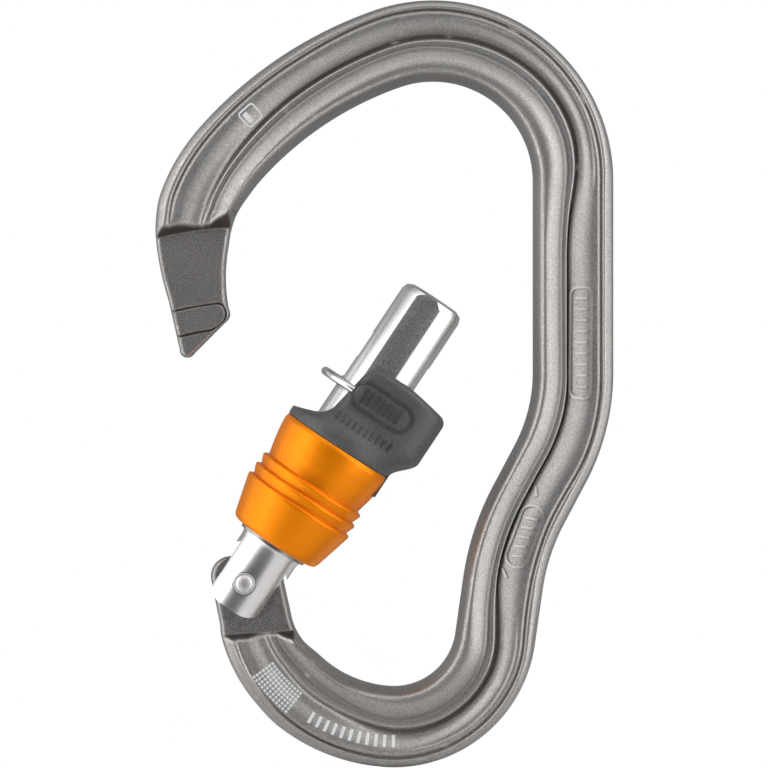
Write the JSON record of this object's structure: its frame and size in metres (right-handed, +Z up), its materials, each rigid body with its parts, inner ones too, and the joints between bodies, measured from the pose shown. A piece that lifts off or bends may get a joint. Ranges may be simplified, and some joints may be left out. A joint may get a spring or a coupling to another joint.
{
  "type": "locking carabiner",
  "caption": "Asymmetric locking carabiner with a wide mouth, key-lock nose, sprung hinged gate and a sliding locking sleeve with a wire latch.",
  "frame": {"origin": "the inner top of the upper bend, on the body's middle plane, where a sling or cable bears and the carabiner hangs", "axes": "+Z up the body from the small hinge-end bend to the large bend, +X from the gate side to the spine, +Y away from the marked front face"},
  "size_m": [0.0762, 0.02, 0.1276],
  "materials": {
    "frame_metal": "satin, tumbled and clear anodised grey",
    "gate_metal": "fine satin, silver",
    "sleeve_metal": "satin orange anodised",
    "cap_plastic": "matte moulded",
    "rivet_steel": "satin",
    "wire_steel": "bright drawn",
    "spring_steel": "drawn",
    "ring_steel": "pressed",
    "plunger_steel": "turned"
  },
  "bodies": {
    "body": {"frame": "frame_metal"},
    "gate": {"gate_body": "gate_metal", "gate_rivet": "rivet_steel", "gate_spring": "spring_steel", "stop_ring": "ring_steel", "retaining_ring": "ring_steel", "spring_washer": "ring_steel", "guide_pin": "rivet_steel", "sleeve_spring": "spring_steel"},
    "plunger": {"gate_plunger": "plunger_steel"},
    "sleeve": {"locking_sleeve": "sleeve_metal", "sleeve_cap": "cap_plastic", "wire_latch": "wire_steel"}
  },
  "joints": [
    {"name": "gate_hinge", "type": "hinge", "parent": "body", "child": "gate", "pos_m": [-0.0312, 0, -0.0833], "axis": [0, -1, 0], "range_deg": [0, 42], "stiffness_Nm_per_rad": 0.3, "springref_deg": 80.21},
    {"name": "plunger_slide", "type": "slide", "parent": "gate", "child": "plunger", "axis": [-0.5519, 0, -0.8339], "range_m": [0, 0.0012], "deforming": ["gate_spring"]},
    {"name": "sleeve_slide", "type": "slide", "parent": "gate", "child": "sleeve", "axis": [0.5519, 0, 0.8339], "range_m": [0, 0.008], "stiffness_N_per_m": 300, "springref_m": 0.025, "deforming": ["sleeve_spring"]}
  ],
  "couplings": [
    {"joint": "plunger_slide", "follows": "gate_hinge", "m_per_rad": 0.001637}
  ]
}
